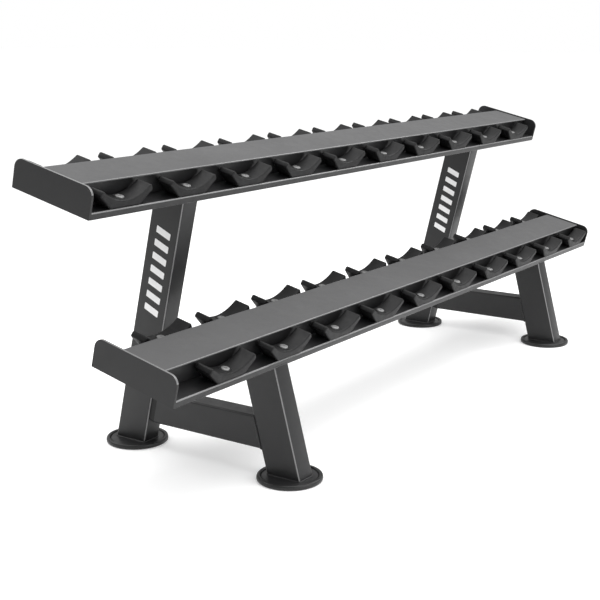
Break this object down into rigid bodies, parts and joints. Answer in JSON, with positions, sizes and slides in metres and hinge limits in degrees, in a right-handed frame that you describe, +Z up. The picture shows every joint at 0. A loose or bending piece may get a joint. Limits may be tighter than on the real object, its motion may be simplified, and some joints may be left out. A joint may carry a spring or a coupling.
{
  "type": "dumbbell rack",
  "caption": "Two-tier dumbbell storage rack: tilted steel trays with moulded saddles along front and rear edges, on two side frames with round rubber feet.",
  "frame": {"origin": "on the floor under the middle of the rack", "axes": "+X along the rack from left to right as seen from the front, +Y from front to back, +Z up"},
  "size_m": [2.45, 0.686, 0.8182],
  "materials": {
    "frame_steel": "satin anthracite powder coat",
    "tray_steel": "satin anthracite powder coat",
    "cover_steel": "semi-gloss anthracite powder coat",
    "saddle": "fine moulded texture, matt black",
    "rubber": "matt black rubber",
    "saddle_bolt": "bright zinc plate",
    "fastener": "black zinc plate"
  },
  "bodies": {
    "root": {"base_disc_front_left": "frame_steel", "base_disc_front_right": "frame_steel", "base_disc_rear_left": "frame_steel", "base_disc_rear_right": "frame_steel", "cover_channel_lower": "cover_steel", "cover_channel_upper": "cover_steel", "cover_lower": "cover_steel", "cover_upper": "cover_steel", "cross_bolts": "fastener", "cross_end_plate_left": "frame_steel", "cross_end_plate_right": "frame_steel", "cross_member_left": "frame_steel", "cross_member_right": "frame_steel", "cross_nuts": "fastener", "end_plate_lower_left": "tray_steel", "end_plate_lower_right": "tray_steel", "end_plate_upper_left": "tray_steel", "end_plate_upper_right": "tray_steel", "foot_screws": "fastener", "front_leg_left": "frame_steel", "front_leg_right": "frame_steel", "leg_top_plate_left": "frame_steel", "leg_top_plate_right": "frame_steel", "m10_nuts": "fastener", "post_pad_left": "frame_steel", "post_pad_right": "frame_steel", "post_top_plate_left": "frame_steel", "post_top_plate_right": "frame_steel", "rear_post_left": "frame_steel", "rear_post_right": "frame_steel", "rubber_foot_front_left": "rubber", "rubber_foot_front_right": "rubber", "rubber_foot_rear_left": "rubber", "rubber_foot_rear_right": "rubber", "saddle_bolts_lower": "saddle_bolt", "saddle_bolts_upper": "saddle_bolt", "saddle_pair_lower_01": "saddle", "saddle_pair_lower_02": "saddle", "saddle_pair_lower_03": "saddle", "saddle_pair_lower_04": "saddle", "saddle_pair_lower_05": "saddle", "saddle_pair_lower_06": "saddle", "saddle_pair_lower_07": "saddle", "saddle_pair_lower_08": "saddle", "saddle_pair_lower_09": "saddle", "saddle_pair_lower_10": "saddle", "saddle_pair_upper_01": "saddle", "saddle_pair_upper_02": "saddle", "saddle_pair_upper_03": "saddle", "saddle_pair_upper_04": "saddle", "saddle_pair_upper_05": "saddle", "saddle_pair_upper_06": "saddle", "saddle_pair_upper_07": "saddle", "saddle_pair_upper_08": "saddle", "saddle_pair_upper_09": "saddle", "saddle_pair_upper_10": "saddle", "tray_bolts": "fastener", "tray_floor_lower": "tray_steel", "tray_floor_upper": "tray_steel"}
  },
  "joints": []
}
